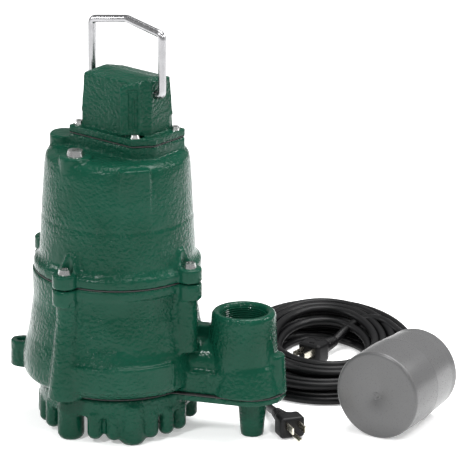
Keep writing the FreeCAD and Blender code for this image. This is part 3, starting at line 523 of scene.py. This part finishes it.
def add_casting(node, voxel, rounds, height, seed):
    """The sand-cast skin that stands for one casting.

    voxel and height, in metres, are the skin's fineness and the roughness of its surface.
    """
    piece = copy_of(node, node + "_cast")
    if node == "pump_housing":
        raised_pad(piece.data)
        flared_foot(piece.data)
    elif node == "switch_cap":
        corner_frame(piece.data)
    soften(piece, voxel, rounds)
    sand_cast(piece, height, seed)
    dress(piece, "cast_paint")
    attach(piece, "root")
    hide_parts(node)


def add_plug(node):
    """A softened copy of a moulded plug."""
    piece = copy_of(node, node + "_body")
    soften(piece, 0.0006, 3)
    dress(piece, "cord_rubber")
    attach(piece, "root")
    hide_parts(node)


def lathed(name, outline, place):
    """A turned piece from (radius, height) corners in millimetres, closed on its own axis."""
    shape = bmesh.new()
    spots = [shape.verts.new(Vector((radius, 0, height)) * MM) for radius, height in outline]
    edges = [shape.edges.new(pair) for pair in zip(spots, spots[1:] + spots[:1])
             if pair[0].co.x > 1e-9 or pair[1].co.x > 1e-9]
    bmesh.ops.spin(shape, geom=spots + edges, axis=(0, 0, 1), cent=(0, 0, 0), steps=144,
                   angle=math.tau)
    bmesh.ops.remove_doubles(shape, verts=shape.verts, dist=1e-7)
    bmesh.ops.recalc_face_normals(shape, faces=shape.faces)
    shape.transform(place)
    mesh = bpy.data.meshes.new(name)
    shape.to_mesh(mesh)
    shape.free()
    for face in mesh.polygons:
        face.use_smooth = True
    mesh.set_sharp_from_angle(angle=math.radians(35))
    piece = bpy.data.objects.new(name, mesh)
    bpy.context.collection.objects.link(piece)
    return piece


def rounded(radius, height, size, start, steps=6):
    """Points of a quarter round, from a start angle in degrees, about (radius, height)."""
    return [(radius + size * math.cos(math.radians(start + 90 * step / steps)),
             height + size * math.sin(math.radians(start + 90 * step / steps)))
            for step in range(steps + 1)]


FLOAT_RADIUS, FLOAT_LENGTH, FLOAT_WALL, FLOAT_SEAM = 43.5, 90, 2.5, 45
RIM_ROUND, BOOT_HOLE = 3.2, 6
SEAM_GROOVE, SEAM_HALF, SEAM_GAP = 0.15, 0.2, 0.02
FLOAT_FOOT = Vector((253, 24, 43.5))
FLOAT_TURN = math.radians(78.2)
FLOAT_WAY = Vector((math.cos(FLOAT_TURN), math.sin(FLOAT_TURN), 0))


def add_float():
    """Two moulded float halves with rounded rims, a welded seam and a gate mark."""
    turn = Vector((0, 0, 1)).rotation_difference(FLOAT_WAY).to_matrix().to_4x4()
    place = Matrix.Translation(FLOAT_FOOT * MM) @ turn
    skin = FLOAT_RADIUS - FLOAT_WALL
    rim = FLOAT_RADIUS - RIM_ROUND

    def seam(side):
        return [(FLOAT_RADIUS, FLOAT_SEAM + side * SEAM_HALF),
                (FLOAT_RADIUS - SEAM_GROOVE, FLOAT_SEAM + side * SEAM_GAP),
                (skin, FLOAT_SEAM + side * SEAM_GAP)]

    gate_mark = [(0, 1.3), (1.6, 1.1), (2.3, 0.3), (2.8, 0), (3.6, 0), (4.0, 0.25), (4.4, 0)]
    near = (gate_mark + [(30, 0), (38.5, 0.1)] + rounded(rim, RIM_ROUND + 0.2, RIM_ROUND, -90)
            + seam(-1) + [(skin, FLOAT_WALL), (0, FLOAT_WALL)])
    far = ([(BOOT_HOLE, FLOAT_LENGTH), (38.5, FLOAT_LENGTH)]
           + rounded(rim, FLOAT_LENGTH - RIM_ROUND, RIM_ROUND, 90)[::-1]
           + seam(1) + [(skin, FLOAT_LENGTH - FLOAT_WALL), (BOOT_HOLE, FLOAT_LENGTH - FLOAT_WALL)])
    for name, outline, node in (("float_front", near, "float_shell_front"),
                                ("float_rear", far, "float_shell_rear")):
        piece = lathed(name, outline, place)
        dress(piece, "float_plastic")
        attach(piece, "float")
        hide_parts(node)


THREAD_PITCH, THREAD_TURNS, THREAD_LOW, THREAD_WALL = 2.2, 9, 101.0, 22.4
THREAD_DEPTH, THREAD_ROOT = 0.95, 0.7


def add_thread():
    """The discharge's internal pipe thread, as fine ridges on the plain bore."""
    outline = []
    for index in range(THREAD_TURNS):
        foot = THREAD_LOW + THREAD_PITCH * index
        outline += [(THREAD_WALL, foot), (THREAD_WALL - THREAD_DEPTH, foot + THREAD_PITCH / 2)]
    top = THREAD_LOW + THREAD_PITCH * THREAD_TURNS
    outline += [(THREAD_WALL, top), (THREAD_WALL + THREAD_ROOT, top),
                (THREAD_WALL + THREAD_ROOT, THREAD_LOW)]
    piece = lathed("port_thread", outline, Matrix.Translation(Vector((127, 0, 0)) * MM))
    dress(piece, "cast_paint")
    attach(piece, "root")


def add_castings():
    """Castings and moulded plugs."""
    add_casting("pump_housing", 0.0015, 4, 0.00016, 1.0)
    add_casting("motor_housing", 0.0015, 4, 0.00014, 2.0)
    add_casting("switch_cap", 0.0009, 2, 0.00010, 3.0)
    add_casting("base_cover", 0.0014, 6, 0.00014, 4.0)
    add_plug("power_plug")
    add_plug("piggyback_plug")


# ---------------------------------------------------------------- stage

def add_floor():
    """A plain white floor that glows a little, as a sheet lit from below does."""
    bpy.ops.mesh.primitive_plane_add(size=14, location=(0.1, 0.1, 0))
    floor = bpy.context.object
    floor.name = "floor"
    material, tree, shader = new_material("floor_white")
    fine = noise_of(tree, 3, 2)
    tree.links.new(ramp_of(tree, fine, ((0.3, (0.88, 0.88, 0.88)), (0.7, (0.92, 0.92, 0.92)))),
                   shader.inputs["Base Color"])
    shader.inputs["Roughness"].default_value = 0.9
    shader.inputs["Specular IOR Level"].default_value = 0.1
    shader.inputs["Emission Color"].default_value = (1, 1, 1, 1)
    shader.inputs["Emission Strength"].default_value = 0.36
    floor.data.materials.append(material)


def add_lamp(name, place, target, size, power):
    """One soft area lamp."""
    data = bpy.data.lights.new(name, "AREA")
    data.shape = "RECTANGLE"
    data.size, data.size_y = size
    data.energy = power
    lamp = bpy.data.objects.new(name, data)
    lamp.location = place
    lamp.rotation_euler = (Vector(target) - Vector(place)).to_track_quat("-Z", "Y").to_euler()
    bpy.context.collection.objects.link(lamp)


def add_lights():
    """Four tall lamps round the pump, one by the float, one above, and a dim white surround.

    The picture is seen without a film curve.
    """
    target = (0.1, 0.05, 0.2)
    add_lamp("key_lamp", (-0.5, -1.8, 1.7), target, (0.10, 0.4), 32)
    add_lamp("front_lamp", (1.25, -1.35, 1.5), target, (0.10, 0.4), 9)
    add_lamp("side_lamp", (2.0, 0.3, 1.0), target, (0.2, 0.7), 5)
    add_lamp("left_lamp", (-1.7, -0.3, 0.9), target, (0.15, 0.7), 11)
    add_lamp("float_lamp", (0.85, 0.42, 0.75), (0.26, 0.05, 0.04), (0.12, 0.3), 5)
    add_lamp("top_lamp", (0.4, 0.4, 2.0), target, (1.2, 1.2), 46)
    world = bpy.data.worlds.new("studio")
    world.use_nodes = True
    world.node_tree.nodes["Background"].inputs["Color"].default_value = (1, 1, 1, 1)
    world.node_tree.nodes["Background"].inputs["Strength"].default_value = 0.34
    bpy.context.scene.world = world
    bpy.context.scene.view_settings.view_transform = "Standard"


add_camera()
dress_frame()
add_castings()
add_float()
add_thread()
add_cords()
add_floor()
add_lights()

bpy.context.view_layer.update()
